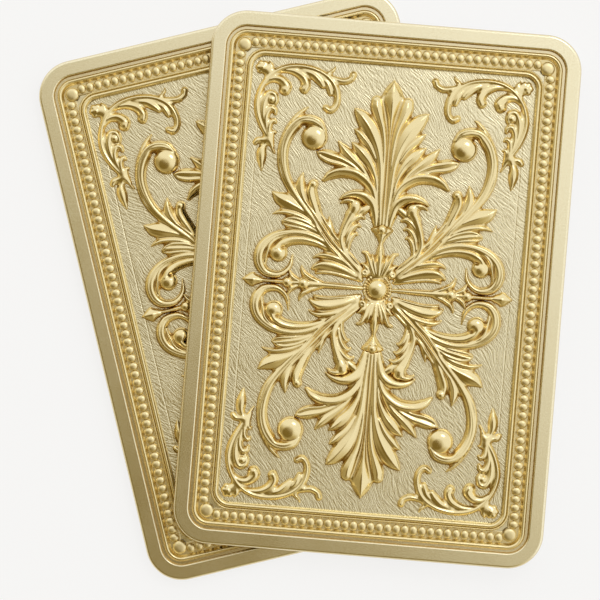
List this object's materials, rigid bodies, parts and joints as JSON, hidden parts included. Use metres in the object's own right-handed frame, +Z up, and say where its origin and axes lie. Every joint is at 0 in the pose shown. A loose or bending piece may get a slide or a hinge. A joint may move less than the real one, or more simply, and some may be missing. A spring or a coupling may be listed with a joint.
{
  "type": "pair of relief playing cards",
  "caption": "Pair of thick gilt relief playing cards with acanthus scrollwork backs, the front card fanned over the back one, for display or as a prop.",
  "frame": {"origin": "centre of the back card's underside, on the surface that it lies on", "axes": "+X across the back card's width, to the right; +Y along its length; +Z up, out of the ornament"},
  "size_m": [0.0892, 0.1005, 0.0048],
  "materials": {
    "satin_gold": "satin gilt",
    "moulding_gold": "polished gilt",
    "bead_gold": "polished gilt",
    "ornament_gold": "polished gilt",
    "field_gold": "chased gilt",
    "plate_gold": "satin gilt",
    "printed_face": "ivory enamel, printed"
  },
  "bodies": {
    "back_card": {"back_face_sheet": "printed_face", "back_base_plate": "plate_gold", "back_field_panel": "field_gold", "back_rim_frame": "satin_gold", "back_outer_moulding": "moulding_gold", "back_inner_moulding": "moulding_gold", "back_bead_row": "bead_gold", "back_corner_beads": "bead_gold", "back_centre_boss": "ornament_gold", "back_upper_palmette": "ornament_gold", "back_lower_palmette": "ornament_gold", "back_right_finial": "ornament_gold", "back_left_finial": "ornament_gold", "back_upper_right_scroll": "ornament_gold", "back_upper_left_scroll": "ornament_gold", "back_lower_right_scroll": "ornament_gold", "back_lower_left_scroll": "ornament_gold", "back_upper_right_corner_spray": "ornament_gold", "back_upper_left_corner_spray": "ornament_gold", "back_lower_right_corner_spray": "ornament_gold", "back_lower_left_corner_spray": "ornament_gold"},
    "front_card": {"front_face_sheet": "printed_face", "front_base_plate": "plate_gold", "front_field_panel": "field_gold", "front_rim_frame": "satin_gold", "front_outer_moulding": "moulding_gold", "front_inner_moulding": "moulding_gold", "front_bead_row": "bead_gold", "front_corner_beads": "bead_gold", "front_centre_boss": "ornament_gold", "front_upper_palmette": "ornament_gold", "front_lower_palmette": "ornament_gold", "front_right_finial": "ornament_gold", "front_left_finial": "ornament_gold", "front_upper_right_scroll": "ornament_gold", "front_upper_left_scroll": "ornament_gold", "front_lower_right_scroll": "ornament_gold", "front_lower_left_scroll": "ornament_gold", "front_upper_right_corner_spray": "ornament_gold", "front_upper_left_corner_spray": "ornament_gold", "front_lower_right_corner_spray": "ornament_gold", "front_lower_left_corner_spray": "ornament_gold"}
  },
  "joints": [
    {"name": "fan", "type": "hinge", "parent": "back_card", "child": "front_card", "pos_m": [-0.0062, -0.0548, 0.0024], "axis": [0, 0, 1], "range_deg": [-17, 18.1]}
  ]
}
